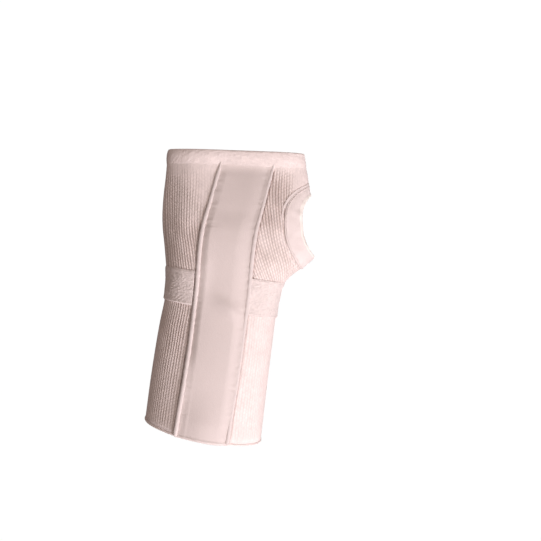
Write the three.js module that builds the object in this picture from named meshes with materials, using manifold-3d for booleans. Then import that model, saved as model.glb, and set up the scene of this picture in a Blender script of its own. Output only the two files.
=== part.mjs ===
// Slip-on elastic wrist brace for a right hand, in millimetres.
// Z runs from the forearm to the fingers, X points to the thumb and the palm faces -Y.
// The origin is the middle of the wrist.

import * as THREE from 'three';
import { LoftGeometry } from 'three/addons/geometries/LoftGeometry.js';
import { mergeVertices } from 'three/addons/utils/BufferGeometryUtils.js';
import Module from 'manifold-3d';

// Driving dimensions
const FOREARM_EDGE = -98;
const FOREARM_SLANT = -0.06;
const FINGER_EDGE = 96;
const FINGER_SLANT = 0.116;
const FINGER_HEM_HEIGHT = 9.5;
const FOREARM_HEM_HEIGHT = 6;
const WALL = 2;
const GAP = 0.4;

const RIB_COUNT = 84;
const RIB_DEPTH = 0.45;
const LINING_COLUMNS = 42;

const BAND_HEIGHT = 24;
const BAND_THICKNESS = 1.2;
const BAND_PALM_RISE = 2;
const BAND_STEPS = 52;

const POCKET_WIDTH = 33;
const POCKET_LIFT = 0.5;
const POCKET_THICKNESS = 1.4;
const POCKET_CROWN = 0.8;
const POCKET_COLUMNS = 8;
const PIPING_RADIUS = 1.4;
const PIPING_LIFT = 1.8;
const PIPING_SIDES = 8;
const PIPING_STEPS = 36;

const BINDING_STEPS = 44;
const HEM_STEPS = 48;

// Outer reach of the sleeve from the wrist axis at each height: to the thumb side, the
// little-finger side, the palm and the back, and how square the section's corners are.
const SECTIONS = [
  { z: -98, thumb: 41.0, little: 40.3, palm: 28.5, back: 30.0, square: 0.02 },
  { z: -62, thumb: 39.8, little: 40.0, palm: 27.6, back: 28.6, square: 0.02 },
  { z: -26, thumb: 38.9, little: 39.3, palm: 25.8, back: 26.4, square: 0.03 },
  { z: -12, thumb: 38.6, little: 38.5, palm: 25.0, back: 25.6, square: 0.03 },
  { z: 0, thumb: 38.7, little: 38.6, palm: 24.6, back: 25.0, square: 0.04 },
  { z: 12, thumb: 40.6, little: 40.4, palm: 24.6, back: 24.4, square: 0.05 },
  { z: 18, thumb: 45.0, little: 41.9, palm: 24.9, back: 24.2, square: 0.05 },
  { z: 24, thumb: 51.5, little: 43.5, palm: 25.2, back: 24.0, square: 0.05 },
  { z: 30, thumb: 56.6, little: 45.0, palm: 25.4, back: 23.6, square: 0.05 },
  { z: 36, thumb: 58.4, little: 46.5, palm: 25.4, back: 23.2, square: 0.05 },
  { z: 46, thumb: 57.0, little: 48.2, palm: 24.6, back: 22.2, square: 0.05 },
  { z: 58, thumb: 53.6, little: 49.1, palm: 22.6, back: 20.8, square: 0.06 },
  { z: 72, thumb: 49.6, little: 49.4, palm: 20.0, back: 19.4, square: 0.07 },
  { z: 85, thumb: 46.4, little: 49.9, palm: 18.0, back: 18.4, square: 0.08 },
  { z: 98, thumb: 41.5, little: 49.7, palm: 16.8, back: 17.6, square: 0.08 },
];

// Sideways place of the pocket's middle line along the palm.
const POCKET_MIDDLE = [
  { z: -98, x: 0.4 },
  { z: -50, x: 1.2 },
  { z: 0, x: 0.4 },
  { z: 43, x: -0.9 },
  { z: 60, x: 1.1 },
  { z: 86, x: 4.4 },
];

// The thumb hole's sewn seam and its free rim: mid height, half height, and half width as
// degrees round the section on the palm and back sides.
const THUMB_SEAM = { middle: 51.7, half: 28.7, palm: 55, back: 50 };
const THUMB_RIM = { middle: 53.2, half: 19.4, palm: 38, back: 32 };
const THUMB_OVAL_POWER = 2.6;

// Closed profiles, outer side first: how far across the strip, and the height off the sleeve.
const FINGER_HEM_PROFILE = [
  { across: 0, lift: 0.3 },
  { across: 0.15, lift: 0.9 },
  { across: 0.6, lift: 0.8 },
  { across: 0.9, lift: 0.2 },
  { across: 1, lift: -0.8 },
  { across: 0.9, lift: -2.2 },
  { across: 0.5, lift: -2.2 },
  { across: 0, lift: -2 },
];
const FOREARM_HEM_PROFILE = [
  { across: 0, lift: -0.5 },
  { across: 0.15, lift: 0.1 },
  { across: 1, lift: 0.1 },
  { across: 1, lift: -2 },
  { across: 0.15, lift: -2 },
];
const BINDING_PROFILE = [
  { across: 0, lift: 0.4 },
  { across: 0.25, lift: 0.8 },
  { across: 0.55, lift: 0.6 },
  { across: 0.8, lift: 0.6 },
  { across: 0.9, lift: 1.0 },
  { across: 1, lift: 0.3 },
  { across: 1, lift: -1.4 },
  { across: 0.9, lift: -2.2 },
  { across: 0.5, lift: -2 },
  { across: 0, lift: -2 },
];

const COLOURS = {
  knit: 0xd6beb4,
  hem: 0xdcc6bc,
  band: 0xd8c0b6,
  binding: 0xe6d5ce,
  pocket: 0xe2cfc7,
  piping: 0xe8d8d1,
};

const FULL_TURN = 2 * Math.PI;
const SLEEVE_TOP = FINGER_EDGE - FINGER_HEM_HEIGHT;
const SLEEVE_BOTTOM = FOREARM_EDGE + FOREARM_HEM_HEIGHT;

const wasm = await Module();
wasm.setup();

function tableCurve(rows, columns) {
  const heights = rows.map((row) => row.z);
  const values = rows.flatMap((row) => columns.map((column) => row[column]));
  return new THREE.CubicInterpolant(heights, values, columns.length);
}

const sectionCurve = tableCurve(SECTIONS, ['thumb', 'little', 'palm', 'back', 'square']);
const pocketCurve = tableCurve(POCKET_MIDDLE, ['x']);

// Point of the sleeve's outer skin: angle 0 is the thumb side, a quarter turn is the back.
function skinPoint(angle, z) {
  const [thumb, little, palm, back, square] = sectionCurve.evaluate(z);
  const corner = 1 + square * Math.sin(2 * angle) ** 2;
  const across = Math.cos(angle);
  const deep = Math.sin(angle);
  const x = (across > 0 ? thumb : little) * across * corner;
  const y = (deep > 0 ? back : palm) * deep * corner;
  return new THREE.Vector3(x, y, z);
}

// Point held off the skin along its outward normal.
function surfacePoint(angle, z, lift) {
  const turn = 0.01;
  const rise = 0.1;
  const around = skinPoint(angle + turn, z).sub(skinPoint(angle - turn, z));
  const along = skinPoint(angle, z + rise).sub(skinPoint(angle, z - rise));
  const normal = around.cross(along).normalize();
  return skinPoint(angle, z).addScaledVector(normal, lift);
}

// Angles that split the section at a height into equal lengths of cloth.
function evenAngles(z, count) {
  const samples = 360;
  const lengths = [0];
  for (let i = 1; i <= samples; i += 1) {
    const before = skinPoint((FULL_TURN * (i - 1)) / samples, z);
    const after = skinPoint((FULL_TURN * i) / samples, z);
    lengths.push(lengths[i - 1] + before.distanceTo(after));
  }
  const angles = [];
  let i = 0;
  for (let k = 0; k < count; k += 1) {
    const wanted = (lengths[samples] * k) / count;
    while (lengths[i + 1] < wanted) {
      i += 1;
    }
    const part = (wanted - lengths[i]) / (lengths[i + 1] - lengths[i]);
    angles.push((FULL_TURN * (i + part)) / samples);
  }
  return angles;
}

// Both ends are slanted, and the slants fade out towards the wrist band.
function slantAt(base) {
  const clear = BAND_HEIGHT / 2;
  if (base > 0) {
    return FINGER_SLANT * THREE.MathUtils.smoothstep(base, clear, SLEEVE_TOP);
  }
  return FOREARM_SLANT * THREE.MathUtils.smoothstep(-base, clear, -SLEEVE_BOTTOM);
}

function slantedHeight(angle, base) {
  let z = base;
  for (let pass = 0; pass < 5; pass += 1) {
    z = base + slantAt(base) * skinPoint(angle, z).x;
  }
  return z;
}

// Angle on the palm side where the skin has the given sideways place.
function palmAngle(x, z) {
  let low = Math.PI;
  let high = FULL_TURN;
  for (let pass = 0; pass < 40; pass += 1) {
    const middle = (low + high) / 2;
    if (skinPoint(middle, z).x < x) {
      low = middle;
    } else {
      high = middle;
    }
  }
  return (low + high) / 2;
}

function closedGeometry(geometry) {
  const plain = new THREE.BufferGeometry().copy(geometry);
  plain.deleteAttribute('normal');
  plain.deleteAttribute('uv');
  const merged = mergeVertices(plain, 1e-4);
  merged.computeVertexNormals();
  return merged;
}

function solidOf(geometry) {
  const vertProperties = new Float32Array(geometry.attributes.position.array);
  const triVerts = new Uint32Array(geometry.index.array);
  return new wasm.Manifold(new wasm.Mesh({ numProp: 3, vertProperties, triVerts }));
}

function geometryOf(solid) {
  const mesh = solid.getMesh();
  const geometry = new THREE.BufferGeometry();
  geometry.setAttribute('position', new THREE.BufferAttribute(mesh.vertProperties, 3));
  geometry.setIndex(new THREE.BufferAttribute(mesh.triVerts, 1));
  geometry.computeVertexNormals();
  return geometry;
}

// Loft whose last section is its first, so that it closes into a ring.
function ringLoft(sections) {
  return closedGeometry(new LoftGeometry([...sections, sections[0]]));
}

function cappedLoft(sections) {
  return closedGeometry(new LoftGeometry(sections, { capStart: true, capEnd: true }));
}

function range(count, make) {
  return Array.from({ length: count }, (_, index) => make(index));
}

// Heights of the table's sections between two ends, with the ends themselves.
function heightsBetween(bottom, top) {
  const inside = SECTIONS.map((row) => row.z).filter((z) => z > bottom + 1 && z < top - 1);
  return [bottom, ...inside, top];
}

// One level ring of the sleeve; its ribs are a crest and a groove in turn.
function sleeveRing(base, count, crest, groove) {
  return evenAngles(base, count).map((angle, index) => {
    const lift = index % 2 === 0 ? crest : groove;
    return surfacePoint(angle, slantedHeight(angle, base), lift);
  });
}

function thumbOval(oval, turn) {
  const power = 2 / THUMB_OVAL_POWER;
  const across = Math.cos(turn);
  const up = Math.sin(turn);
  const width = THREE.MathUtils.degToRad(across < 0 ? oval.palm : oval.back);
  return {
    angle: Math.sign(across) * width * Math.abs(across) ** power,
    z: oval.middle + Math.sign(up) * oval.half * Math.abs(up) ** power,
  };
}

// Point of the thumb hole's surround: across is 0 on the seam and 1 on the free rim.
function bindingPoint(turn, across, lift) {
  const seam = thumbOval(THUMB_SEAM, turn);
  const rim = thumbOval(THUMB_RIM, turn);
  const angle = THREE.MathUtils.lerp(seam.angle, rim.angle, across);
  const z = THREE.MathUtils.lerp(seam.z, rim.z, across);
  return surfacePoint(angle, z, lift);
}

// Dome that cuts the thumb hole: rings of the seam's oval over the wall, and one under it.
function thumbCutter() {
  const full = 1 + GAP / THUMB_SEAM.half;
  const above = 3;
  const below = -WALL - 1.5;
  const levels = [
    { size: 0.1, lift: above },
    { size: 0.4, lift: above },
    { size: 0.7, lift: above },
    { size: full, lift: above },
    { size: full, lift: below },
  ];
  const sections = levels.map(({ size, lift }) => range(BINDING_STEPS, (index) => {
    const edge = thumbOval(THUMB_SEAM, (-FULL_TURN * index) / BINDING_STEPS);
    const z = THREE.MathUtils.lerp(THUMB_SEAM.middle, edge.z, size);
    return surfacePoint(edge.angle * size, z, lift);
  }));
  return cappedLoft(sections);
}

function sleeveGeometry() {
  const heights = heightsBetween(SLEEVE_BOTTOM, SLEEVE_TOP);
  const outer = heights.map((base) => sleeveRing(base, 2 * RIB_COUNT, 0, -RIB_DEPTH));
  const past = 3;
  const inner = heightsBetween(SLEEVE_BOTTOM - past, SLEEVE_TOP + past)
    .map((base) => sleeveRing(base, LINING_COLUMNS, -WALL, -WALL));
  const tube = solidOf(cappedLoft(outer)).subtract(solidOf(cappedLoft(inner)));
  return geometryOf(tube.subtract(solidOf(thumbCutter())));
}

function hemGeometry(bottom, top, profile) {
  const clockwise = evenAngles(bottom, HEM_STEPS).toReversed();
  const sections = clockwise.map((angle) => profile.map((row) => {
    const base = THREE.MathUtils.lerp(bottom, top, row.across);
    return surfacePoint(angle, slantedHeight(angle, base), row.lift);
  }));
  return ringLoft(sections);
}

// The band runs from the pocket's thumb-side seam, round the back, to its other seam.
function bandGeometry() {
  const clear = POCKET_WIDTH / 2 + PIPING_RADIUS + GAP;
  const half = BAND_HEIGHT / 2;
  const edge = half - BAND_THICKNESS / 2;
  const inside = GAP;
  const outside = GAP + BAND_THICKNESS;
  const profile = [
    { z: half, lift: inside },
    { z: half, lift: (inside + outside) / 2 },
    { z: edge, lift: outside },
    { z: 0, lift: outside },
    { z: -edge, lift: outside },
    { z: -half, lift: (inside + outside) / 2 },
    { z: -half, lift: inside },
    { z: 0, lift: inside },
  ];
  const sections = range(BAND_STEPS + 1, (index) => profile.map(({ z, lift }) => {
    const middle = pocketCurve.evaluate(z)[0];
    const start = palmAngle(middle + clear, z);
    const end = palmAngle(middle - clear, z) + FULL_TURN;
    const angle = THREE.MathUtils.lerp(start, end, index / BAND_STEPS);
    const rise = BAND_PALM_RISE * Math.max(0, -Math.sin(angle));
    return surfacePoint(angle, z + rise, lift);
  }));
  return cappedLoft(sections);
}

// Point over the palm, placed sideways from the pocket's middle line.
function pocketPoint(base, aside, lift) {
  const x = pocketCurve.evaluate(base)[0] + aside;
  const z = base + slantAt(base) * x;
  return surfacePoint(palmAngle(x, z), z, lift);
}

function pocketGeometry() {
  const half = POCKET_WIDTH / 2 - PIPING_RADIUS - GAP;
  const sections = heightsBetween(FOREARM_EDGE, SLEEVE_TOP - GAP).map((base) => {
    const outer = range(POCKET_COLUMNS + 1, (index) => {
      const part = (2 * index) / POCKET_COLUMNS - 1;
      const crown = POCKET_CROWN * (1 - part * part);
      return pocketPoint(base, part * half, POCKET_LIFT + POCKET_THICKNESS + crown);
    });
    const inner = range(POCKET_COLUMNS + 1, (index) => {
      const part = 1 - (2 * index) / POCKET_COLUMNS;
      return pocketPoint(base, part * half, POCKET_LIFT);
    });
    return [...outer, ...inner];
  });
  return cappedLoft(sections);
}

function pipingGeometry(side) {
  const points = heightsBetween(FOREARM_EDGE, SLEEVE_TOP - GAP)
    .map((base) => pocketPoint(base, (side * POCKET_WIDTH) / 2, PIPING_LIFT));
  const circle = new THREE.Shape(range(PIPING_SIDES, (index) => {
    const turn = (FULL_TURN * index) / PIPING_SIDES;
    return new THREE.Vector2(PIPING_RADIUS * Math.cos(turn), PIPING_RADIUS * Math.sin(turn));
  }));
  const path = new THREE.CatmullRomCurve3(points);
  return closedGeometry(new THREE.ExtrudeGeometry(circle, { steps: PIPING_STEPS, extrudePath: path }));
}

function bindingGeometry() {
  const sections = range(BINDING_STEPS, (index) => {
    const turn = (-FULL_TURN * index) / BINDING_STEPS;
    return BINDING_PROFILE.map(({ across, lift }) => bindingPoint(turn, across, lift));
  });
  return ringLoft(sections);
}

const brace = new THREE.Group();

function addPiece(name, geometry, color, roughness) {
  const material = new THREE.MeshStandardMaterial({ color, roughness, metalness: 0 });
  const mesh = new THREE.Mesh(geometry, material);
  mesh.name = name;
  brace.add(mesh);
}

const fingerHem = hemGeometry(SLEEVE_TOP + GAP, FINGER_EDGE, FINGER_HEM_PROFILE);
const forearmHem = hemGeometry(FOREARM_EDGE, SLEEVE_BOTTOM - GAP, FOREARM_HEM_PROFILE);

addPiece('sleeve', sleeveGeometry(), COLOURS.knit, 0.95);
addPiece('finger_hem', fingerHem, COLOURS.hem, 0.9);
addPiece('forearm_hem', forearmHem, COLOURS.hem, 0.9);
addPiece('wrist_band', bandGeometry(), COLOURS.band, 0.85);
addPiece('thumb_binding', bindingGeometry(), COLOURS.binding, 0.85);
addPiece('splint_pocket', pocketGeometry(), COLOURS.pocket, 0.8);
addPiece('pocket_piping_ulnar', pipingGeometry(-1), COLOURS.piping, 0.8);
addPiece('pocket_piping_radial', pipingGeometry(1), COLOURS.piping, 0.8);

export default brace;
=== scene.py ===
"""Cloth pieces of a slip-on elastic wrist brace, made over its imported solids.

The brace is a ribbed knit sleeve with two hems, a woven wrist band, a bound thumb hole, and a
smooth pocket down its palm side between two piped seams. Lengths are in metres. Z runs from the
forearm end to the finger end, X points to the thumb side and -Y out of the palm side.
"""

import math

import bmesh
import bpy
import numpy as np
from bpy.props import FloatProperty, FloatVectorProperty, IntProperty, PointerProperty
from mathutils import Matrix, Vector


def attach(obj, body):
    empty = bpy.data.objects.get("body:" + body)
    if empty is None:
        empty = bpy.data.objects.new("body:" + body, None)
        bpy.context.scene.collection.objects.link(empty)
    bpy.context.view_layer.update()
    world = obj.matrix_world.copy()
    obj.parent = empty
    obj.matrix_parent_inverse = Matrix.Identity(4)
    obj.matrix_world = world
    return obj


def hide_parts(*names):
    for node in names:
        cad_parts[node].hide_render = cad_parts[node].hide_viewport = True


bl_info = {
    "name": "Wrist Brace",
    "version": (1, 0, 0),
    "blender": (4, 5, 0),
    "location": "3D View > Sidebar > Wrist Brace",
    "description": "Makes the cloth pieces of a slip-on elastic wrist brace over its frame",
    "category": "Object",
}

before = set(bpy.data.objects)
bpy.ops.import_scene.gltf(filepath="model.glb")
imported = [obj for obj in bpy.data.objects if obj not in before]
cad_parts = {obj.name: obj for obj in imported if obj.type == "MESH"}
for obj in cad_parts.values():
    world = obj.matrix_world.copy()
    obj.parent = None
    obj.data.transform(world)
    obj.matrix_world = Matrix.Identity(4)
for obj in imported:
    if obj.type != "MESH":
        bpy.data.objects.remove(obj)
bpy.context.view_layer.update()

MM = 0.001
FULL_TURN = 2 * math.pi
BODY = "root"
SECTION_SAMPLES = 1441

# Ends of the brace, slanted across it, and the sleeve between the two hems
FOREARM_EDGE = -98 * MM
FOREARM_SLANT = -0.06
FINGER_EDGE = 96 * MM
FINGER_SLANT = 0.116
SLEEVE_TOP = FINGER_EDGE - 9.5 * MM
SLEEVE_BOTTOM = FOREARM_EDGE + 6 * MM
SLEEVE_TUCK = 2 * MM
RIM_HEIGHT = 1.6 * MM

# Wrist band
BAND_HALF = 12 * MM
BAND_LIFT = 0.15 * MM
BAND_PALM_RISE = 2 * MM
BAND_TILT = 1.2 * MM
BAND_GAP = 2.1 * MM
BAND_PUFF = 0.55 * MM
STITCH_INSET = 1.1 * MM

# Splint pocket and its piped seams
POCKET_HALF = 16.5 * MM
ULNAR_SPREAD = 1.065
STAY_HALF = 11 * MM
STAY_BOTTOM = -88 * MM
STAY_TOP = 47 * MM
PIPING_LIFT = 0.3 * MM
PIPING_WIDENING = 1.12
SEAM_REACH = 8 * MM
SEAM_STEP_DEPTH = 1.5 * MM

# Outer reach of the sleeve from the wrist axis at each height, in millimetres, and how square
# the section's corners are.
# height, thumb side, little-finger side, palm, back, square
SECTIONS = (
    (-98, 41.0, 40.8, 28.5, 30.0, 0.02),
    (-62, 39.8, 40.9, 27.6, 28.6, 0.02),
    (-26, 38.9, 39.9, 25.8, 26.4, 0.03),
    (-12, 38.6, 38.9, 25.0, 25.6, 0.03),
    (0, 38.7, 38.9, 24.6, 25.0, 0.04),
    (12, 40.6, 40.4, 24.6, 24.4, 0.05),
    (18, 45.0, 41.9, 24.9, 24.2, 0.05),
    (24, 51.5, 43.5, 25.2, 24.0, 0.05),
    (30, 56.6, 45.0, 25.4, 23.6, 0.05),
    (36, 58.4, 46.5, 25.4, 23.2, 0.05),
    (46, 57.0, 48.2, 24.6, 22.2, 0.05),
    (58, 53.6, 49.1, 22.6, 20.8, 0.06),
    (72, 49.6, 49.4, 20.0, 19.4, 0.07),
    (85, 46.4, 49.9, 18.0, 18.4, 0.08),
    (98, 41.5, 49.7, 16.8, 17.6, 0.08),
)

# Soft forms of the sleeve's palm side, as hills and hollows, in millimetres.
# x, height, reach aside, reach up, rise
PALM_FORMS = (
    (-24, 12, 13, 16, 2.0),
    (-52, 46, 15, 28, -2.6),
    (34, 60, 11, 18, 1.4),
    (-26, 90, 14, 16, 0.8),
    (8, 88, 28, 15, -2.0),
    (41, 88, 12, 14, -1.2),
)

# Sideways place of the pocket's middle line, in millimetres.
# height, x
POCKET_MIDDLE = ((-98, 0.4), (-50, 1.2), (0, 0.4), (43, -0.9), (60, 1.1), (86, 4.4))

# The thumb hole's sewn seam and its free rim: heights in metres, and half widths in degrees
# round the section on the palm and back sides.
THUMB_SEAM = {"middle": 51.7 * MM, "half": 28.7 * MM, "palm": 55, "back": 50}
THUMB_RIM = {"middle": 53.2 * MM, "half": 19.4 * MM, "palm": 38, "back": 32}
THUMB_OVAL_POWER = 2.6

# Closed profiles, outer side first: share of the way across the strip, and the height off the
# sleeve in millimetres.
FINGER_HEM_PROFILE = (
    (-0.45, -0.9), (-0.25, -0.35), (0.00, 0.1), (0.30, 0.55), (0.55, 0.75), (0.80, 0.55),
    (0.97, 0.0), (1.00, -0.9), (0.96, -1.8), (0.80, -2.3), (0.50, -2.3), (0.10, -2.4), (-0.45, -2.3),
)
FOREARM_HEM_PROFILE = (
    (0.00, -0.9), (0.00, 0.1), (0.06, 0.5), (0.20, 0.4), (0.28, -0.2), (0.34, -0.8), (0.70, -0.8),
    (1.15, -0.9), (1.15, -2.2), (0.80, -2.3), (0.30, -2.3), (0.06, -2.0), (0.01, -1.5),
)
BINDING_PROFILE = (
    (-0.16, -1.0), (-0.14, -0.2), (-0.09, 0.15), (-0.05, -1.3), (-0.01, -1.2), (0.02, 0.7), (0.08, 0.8),
    (0.16, 0.5), (0.40, 0.6), (0.64, 0.5), (0.76, 0.75), (0.86, 1.0), (0.94, 0.85), (1.01, 0.1),
    (1.03, -1.0), (0.95, -2.0), (0.80, -2.4), (0.40, -2.4), (0.00, -2.4), (-0.16, -2.2),
)

# Soft forms of the pocket's cloth, as hills and hollows: place aside from the middle line and
# height, reach along and across, turn of the long way from sideways, and rise, all in
# millimetres and degrees.
# aside, height, along, across, turn, rise
POCKET_FORMS = (
    (5, -8, 10, 4.6, -32, 1.9),
    (0, -91, 14, 16, 0, 2.5),
    (-12, 46.9, 4.0, 0.6, 4, -0.2),
    (-12, 45.0, 4.0, 0.6, 4, -0.2),
)

# Changes of the cloth along the brace: each grows from none at its start height to its whole
# amount at its end height. Heights are in millimetres, and amounts are millimetres or shares.
# start, end, amount
CHANGES = {
    "pocket widens": (0, 30, 0.025),
    "pocket slackens": (-36, -54, 1.0),
    "stay sinks": (-44, -72, 0.6),
    "stay moves over": (0, -20, 4.0),
    "thumb edge sinks": (-5, -20, 0.3),
    "seam lifts": (-34, -56, 0.5),
    "corner lifts": (-50, -84, 0.9),
    "groove ends on arm": (-50, -66, 1.0),
    "groove narrows": (44, 64, 1.2),
    "groove gets shallow": (40, 60, 0.8),
    "thumb web ribs fade": (58, 70, 0.92),
    "thumb side ribs deepen": (42, 56, 0.6),
    "ribs by seam fade": (42, 64, 0.75),
    "piping flattens": (40, 68, 1.0),
    "little piping lifts": (-32, -50, 0.45),
    "thumb piping comes out": (-26, -8, 0.75),
    "thumb piping meets hem": (-78, -90, 0.7),
}

# Soft round lights aimed at the wrist: place and size in metres, and colour
LIGHTS = {
    "key": ((0.70, -0.73, -0.61), 0.7, (0.99, 0.99, 1.05)),
    "fill": ((0.34, -1.48, 0.35), 1.2, (1.0, 0.985, 0.955)),
}
AMBIENT_COLOUR = (1.0, 0.84, 0.77)


def length_property(name, description, default, low, high):
    """Length that is given in millimetres and held in metres."""
    return FloatProperty(
        name=name, description=description, default=default * MM, min=low * MM, max=high * MM,
        unit="LENGTH", precision=5)


def colour_property(name, description, default):
    return FloatVectorProperty(
        name=name, description=description, default=default, subtype="COLOR", size=3, min=0, max=1)


class BraceSizes(bpy.types.PropertyGroup):
    """Cloth sizes that can change without moving a piece off the frame."""

    rib_pitch: length_property("Rib Pitch", "Width of one rib of the knit", 1.95, 1, 6)
    rib_depth: length_property("Rib Depth", "Depth of the grooves between ribs", 0.36, 0, 1.5)
    rib_roundness: FloatProperty(
        name="Rib Roundness", description="Higher values give broad ribs and narrow grooves",
        default=2.0, min=1, max=8)
    knit_thickness: length_property("Knit Thickness", "Thickness of the sleeve's wall", 1.7, 0.5, 3)
    band_thickness: length_property("Band Thickness", "Thickness of the woven wrist band", 0.8, 0.5, 3)
    weave_pitch: length_property("Weave Pitch", "One repeat of the wrist band's weave", 3.2, 1, 6)
    weave_depth: length_property("Weave Depth", "Relief of the wrist band's weave", 0.32, 0, 1)
    pocket_thickness: length_property("Pocket Thickness", "Thickness of the pocket's cloth", 1, 0.3, 2)
    piping_radius: length_property("Piping Radius", "Radius of the pocket's rolled seams", 1.4, 0.5, 3)
    stitch_pitch: length_property("Stitch Pitch", "Distance from one stitch to the next", 2.6, 1, 6)
    stitch_thickness: length_property("Stitch Thickness", "Thickness of the sewing thread", 0.42, 0.1, 1)
    lump_seed: IntProperty(
        name="Unevenness Seed", description="Chooses the small unevenness of hems and seams",
        default=7, min=0)


class BraceColours(bpy.types.PropertyGroup):
    """Colours of the cloth, in linear light."""

    knit: colour_property("Knit", "Crests of the sleeve's ribs", (0.80, 0.660, 0.625))
    # Painted shade: in the grooves between ribs the knit's colour turns towards this one, standing in for
    # their shade.
    groove: colour_property("Groove", "Depths between the ribs", (0.58, 0.455, 0.415))
    hem: colour_property("Hem", "Folded hems", (0.83, 0.685, 0.650))
    band: colour_property("Band", "Woven wrist band", (0.80, 0.665, 0.630))
    binding: colour_property("Binding", "Edge of the thumb hole", (0.755, 0.628, 0.597))
    # Painted highlight: the thumb hole's rolled rim is given this paler colour to stand in for the light
    # it catches.
    rim: colour_property("Rim", "Rolled rim of the thumb hole", (0.87, 0.770, 0.710))
    pocket: colour_property("Pocket", "Brushed cloth of the pocket", (0.655, 0.540, 0.510))
    piping: colour_property("Piping", "Rolled seams beside the pocket", (0.675, 0.565, 0.537))
    # This colour is also painted along the pocket's turned lower edge as a highlight.
    thread: colour_property("Thread", "Sewing thread", (0.77, 0.640, 0.605))


class StudioLights(bpy.types.PropertyGroup):
    """Strength of the studio's lights."""

    key_power: FloatProperty(
        name="Key Power", description="Large soft light on the thumb side",
        default=15.5, min=0, unit="POWER")
    fill_power: FloatProperty(
        name="Fill Power", description="Soft light from the front",
        default=8.2, min=0, unit="POWER")
    ambient: FloatProperty(
        name="Ambient", description="Light from all round", default=0.23, min=0)


def smoothstep(value, low, high):
    share = np.clip((value - low) / (high - low), 0, 1)
    return share * share * (3 - 2 * share)


def bell(value, middle, reach):
    """One at the middle, falling off smoothly on both sides."""
    return np.exp(-((value - middle) / reach) ** 2)


def change(name, height):
    """Amount of one of the cloth's changes at a height in metres."""
    start, end, amount = CHANGES[name]
    return amount * smoothstep(height, start * MM, end * MM)


def table_curve(rows, column, unit=MM):
    """Smooth curve through one column of a table, read by height in metres."""
    heights = np.array([row[0] for row in rows]) * MM
    values = np.array([row[column] for row in rows]) * unit
    slopes = np.diff(values) / np.diff(heights)
    tangents = np.concatenate([slopes[:1], (slopes[:-1] + slopes[1:]) / 2, slopes[-1:]])

    def value(z):
        z = np.clip(z, heights[0], heights[-1])
        k = np.clip(np.searchsorted(heights, z, side="right") - 1, 0, len(slopes) - 1)
        step = heights[k + 1] - heights[k]
        t = (z - heights[k]) / step
        rise = t * t * (3 - 2 * t)
        swing = step * t * (1 - t) * (tangents[k] * (1 - t) - tangents[k + 1] * t)
        return values[k] * (1 - rise) + values[k + 1] * rise + swing

    return value


thumb_reach = table_curve(SECTIONS, 1)
little_reach = table_curve(SECTIONS, 2)
palm_reach = table_curve(SECTIONS, 3)
back_reach = table_curve(SECTIONS, 4)
squareness = table_curve(SECTIONS, 5, unit=1)
pocket_middle = table_curve(POCKET_MIDDLE, 1)


def skin(angle, z):
    """Points of the sleeve's outer skin: angle 0 is the thumb side, a quarter turn is the back."""
    angle, z = np.broadcast_arrays(angle, z)
    across = np.cos(angle)
    deep = np.sin(angle)
    corner = 1 + squareness(z) * np.sin(2 * angle) ** 2
    x = np.where(across > 0, thumb_reach(z), little_reach(z)) * across * corner
    y = np.where(deep > 0, back_reach(z), palm_reach(z)) * deep * corner
    front = smoothstep(-deep, 0, 0.5)
    for place, height, aside, up, rise in PALM_FORMS:
        sideways = (x / MM - place) / aside
        lengthwise = (z / MM - height) / up
        y = y - front * rise * MM * np.exp(-sideways ** 4 - lengthwise ** 2)
    return np.stack([x, y, z], axis=-1)


def skin_normal(angle, z):
    turn = 0.01
    rise = 0.1 * MM
    around = skin(angle + turn, z) - skin(angle - turn, z)
    along = skin(angle, z + rise) - skin(angle, z - rise)
    normal = np.cross(around, along)
    return normal / np.linalg.norm(normal, axis=-1, keepdims=True)


def off_skin(angle, z, lift):
    """Points held off the skin along its outward normal."""
    lift = np.broadcast_to(lift, np.broadcast(angle, z).shape)
    return skin(angle, z) + skin_normal(angle, z) * lift[..., None]


def slant_at(base):
    """Slope of a row across the brace: both ends are slanted, and the band is level."""
    finger = FINGER_SLANT * smoothstep(base, BAND_HALF, SLEEVE_TOP)
    forearm = FOREARM_SLANT * smoothstep(-base, BAND_HALF, -SLEEVE_BOTTOM)
    return finger + forearm


def slanted_height(angle, base):
    angle, base = np.broadcast_arrays(angle, base)
    z = base
    for _ in range(5):
        z = base + slant_at(base) * skin(angle, z)[..., 0]
    return z


def sideways_place(angle, base):
    """Sideways place of the skin in a slanted row."""
    return skin(angle, slanted_height(angle, base))[..., 0]


def palm_angle(x, z):
    """Angles on the palm side where the skin has the given sideways places."""
    x, z = np.broadcast_arrays(x, z)
    low = np.full(x.shape, math.pi)
    high = np.full(x.shape, FULL_TURN)
    for _ in range(40):
        middle = (low + high) / 2
        left = skin(middle, z)[..., 0] < x
        low = np.where(left, middle, low)
        high = np.where(left, high, middle)
    return (low + high) / 2


def even_angles(base, count):
    """Angles that split the section at a height into equal lengths of cloth, ends included."""
    turn = np.linspace(0, FULL_TURN, SECTION_SAMPLES)
    steps = np.linalg.norm(np.diff(skin(turn, base), axis=0), axis=1)
    lengths = np.concatenate([[0], np.cumsum(steps)])
    return np.interp(np.linspace(0, lengths[-1], count + 1), lengths, turn), lengths[-1]


def lumps(u, v, size, seed):
    """Smooth unevenness about one size across, mostly between -1 and 1."""
    draw = np.random.default_rng(seed)
    waves = 14
    total = 0
    for heading, length, phase in zip(
            draw.uniform(0, FULL_TURN, waves), draw.uniform(0.7, 1.6, waves),
            draw.uniform(0, FULL_TURN, waves)):
        way = (u * math.cos(heading) + v * math.sin(heading)) / (size * length)
        total = total + np.sin(FULL_TURN * way + phase)
    return total / math.sqrt(waves)


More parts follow.
